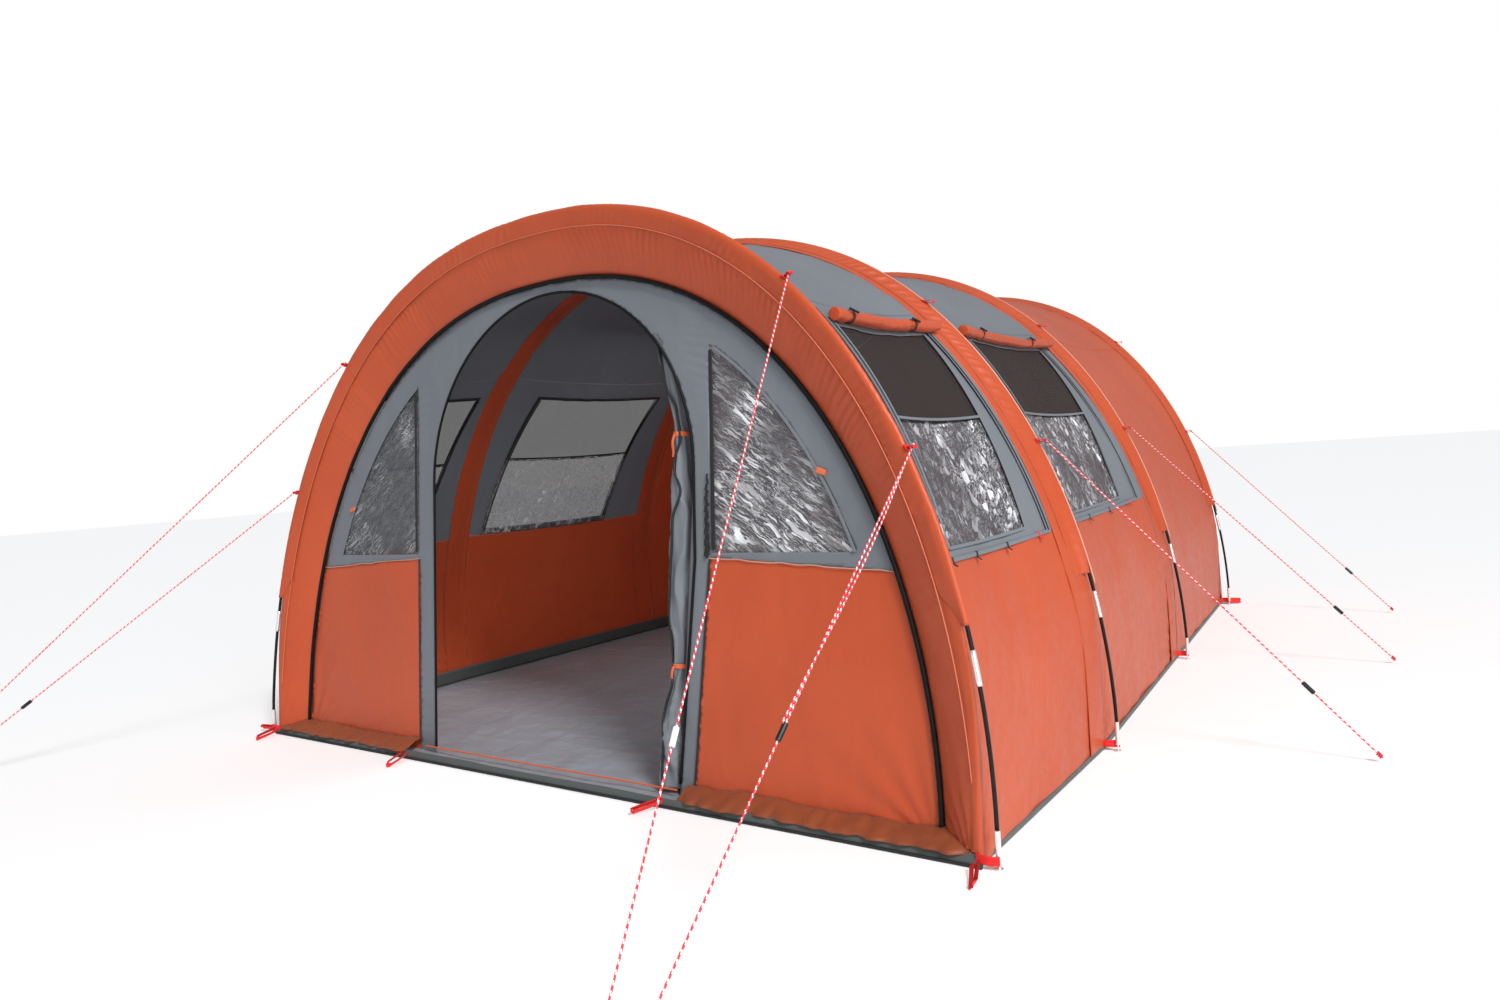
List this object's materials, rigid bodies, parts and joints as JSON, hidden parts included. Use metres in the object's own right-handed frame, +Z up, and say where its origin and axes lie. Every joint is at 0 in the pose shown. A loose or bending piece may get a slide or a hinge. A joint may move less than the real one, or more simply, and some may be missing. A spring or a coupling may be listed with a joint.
{
  "type": "tunnel tent",
  "caption": "Tunnel tent on bent poles in sleeves, with an open doorway, side windows with rolled covers, a tub floor and guy lines with sliding runners.",
  "frame": {"origin": "on the ground at the middle of the floor's underside", "axes": "+Z up, +Y from the doorway to the back, +X to the right of someone facing the doorway"},
  "size_m": [4.9238, 5.7436, 2.0815],
  "materials": {
    "orange_fabric": "matt coated polyester",
    "grey_fabric": "matt coated polyester",
    "floor_sheet": "woven laminate, slightly glossy",
    "window_film": "clear creased film with dark mesh above",
    "pole": "glass-fibre rod, satin black",
    "ferrule": "bright plated steel",
    "rope": "braided cord, white with red flecks",
    "runner_light": "moulded",
    "runner_dark": "moulded",
    "zip": "moulded",
    "zip_light": "moulded"
  },
  "bodies": {
    "tent": {"back_wall": "orange_fabric", "brow_band": "orange_fabric", "door_bundle": "grey_fabric", "front_frame": "grey_fabric", "front_panel_left": "orange_fabric", "front_panel_right": "orange_fabric", "front_window_left": "window_film", "front_window_right": "window_film", "groundsheet": "floor_sheet", "guy_line_front_left_lower": "rope", "guy_line_front_left_upper": "rope", "guy_line_front_right_lower": "rope", "guy_line_front_right_upper": "rope", "guy_line_right_fourth": "rope", "guy_line_right_second": "rope", "guy_line_right_third": "rope", "pole_1": "pole", "pole_2": "pole", "pole_3": "pole", "pole_4": "pole", "pole_foot_left_1": "ferrule", "pole_foot_left_2": "ferrule", "pole_foot_left_3": "ferrule", "pole_foot_left_4": "ferrule", "pole_foot_right_1": "ferrule", "pole_foot_right_2": "ferrule", "pole_foot_right_3": "ferrule", "pole_foot_right_4": "ferrule", "roof_1": "grey_fabric", "roof_2": "grey_fabric", "roof_3": "orange_fabric", "sleeve_1": "orange_fabric", "sleeve_2": "orange_fabric", "sleeve_3": "orange_fabric", "sleeve_4": "orange_fabric", "wall_left_1": "orange_fabric", "wall_left_2": "orange_fabric", "wall_left_3": "orange_fabric", "wall_right_1": "orange_fabric", "wall_right_2": "orange_fabric", "wall_right_3": "orange_fabric", "window_cover_left_1": "orange_fabric", "window_cover_left_2": "orange_fabric", "window_cover_right_1": "orange_fabric", "window_cover_right_2": "orange_fabric", "window_left_1": "window_film", "window_left_2": "window_film", "window_right_1": "window_film", "window_right_2": "window_film"},
    "runner_front_right_upper": {"runner_front_right_upper": "runner_light"},
    "runner_front_right_lower": {"runner_front_right_lower": "runner_dark"},
    "runner_front_left_upper": {"runner_front_left_upper": "runner_light"},
    "runner_front_left_lower": {"runner_front_left_lower": "runner_dark"},
    "runner_right_second": {"runner_right_second": "runner_dark"},
    "runner_right_third": {"runner_right_third": "runner_dark"},
    "runner_right_fourth": {"runner_right_fourth": "runner_dark"},
    "window_zip_slider_1": {"window_zip_slider_1": "zip"},
    "window_zip_slider_2": {"window_zip_slider_2": "zip"},
    "door_zip_slider": {"door_zip_slider": "zip_light"}
  },
  "joints": [
    {"name": "front_right_upper_runner_slide", "type": "slide", "parent": "tent", "child": "runner_front_right_upper", "axis": [-0.113, 0.6016, 0.7908], "range_m": [-0.25, 0.6]},
    {"name": "front_right_lower_runner_slide", "type": "slide", "parent": "tent", "child": "runner_front_right_lower", "axis": [0.0425, 0.7424, 0.6687], "range_m": [-0.25, 0.6]},
    {"name": "front_left_upper_runner_slide", "type": "slide", "parent": "tent", "child": "runner_front_left_upper", "axis": [0.5307, 0.5313, 0.6604], "range_m": [-0.25, 0.6]},
    {"name": "front_left_lower_runner_slide", "type": "slide", "parent": "tent", "child": "runner_front_left_lower", "axis": [0.5202, 0.617, 0.5905], "range_m": [-0.25, 0.6]},
    {"name": "right_second_runner_slide", "type": "slide", "parent": "tent", "child": "runner_right_second", "axis": [-0.6575, -0.1179, 0.7442], "range_m": [-0.226, 0.6]},
    {"name": "right_third_runner_slide", "type": "slide", "parent": "tent", "child": "runner_right_third", "axis": [-0.67, -0.1229, 0.7321], "range_m": [-0.24, 0.6]},
    {"name": "right_fourth_runner_slide", "type": "slide", "parent": "tent", "child": "runner_right_fourth", "axis": [-0.6828, 0.0879, 0.7253], "range_m": [-0.232, 0.6]},
    {"name": "window_zip_1", "type": "hinge", "parent": "tent", "child": "window_zip_slider_1", "pos_m": [-0.23397, -1.40398, 0.24027], "axis": [0, -0.9997, 0.0234], "range_deg": [-8, 8]},
    {"name": "window_zip_2", "type": "hinge", "parent": "tent", "child": "window_zip_slider_2", "pos_m": [-0.31295, 0.00305, 0.26646], "axis": [0, -0.9995, -0.0321], "range_deg": [-8, 8]},
    {"name": "door_zip", "type": "hinge", "parent": "tent", "child": "door_zip_slider", "pos_m": [0.03, -2.12405, 1.06569], "axis": [0, -0.996, 0.0897], "range_deg": [-35, 100]}
  ]
}
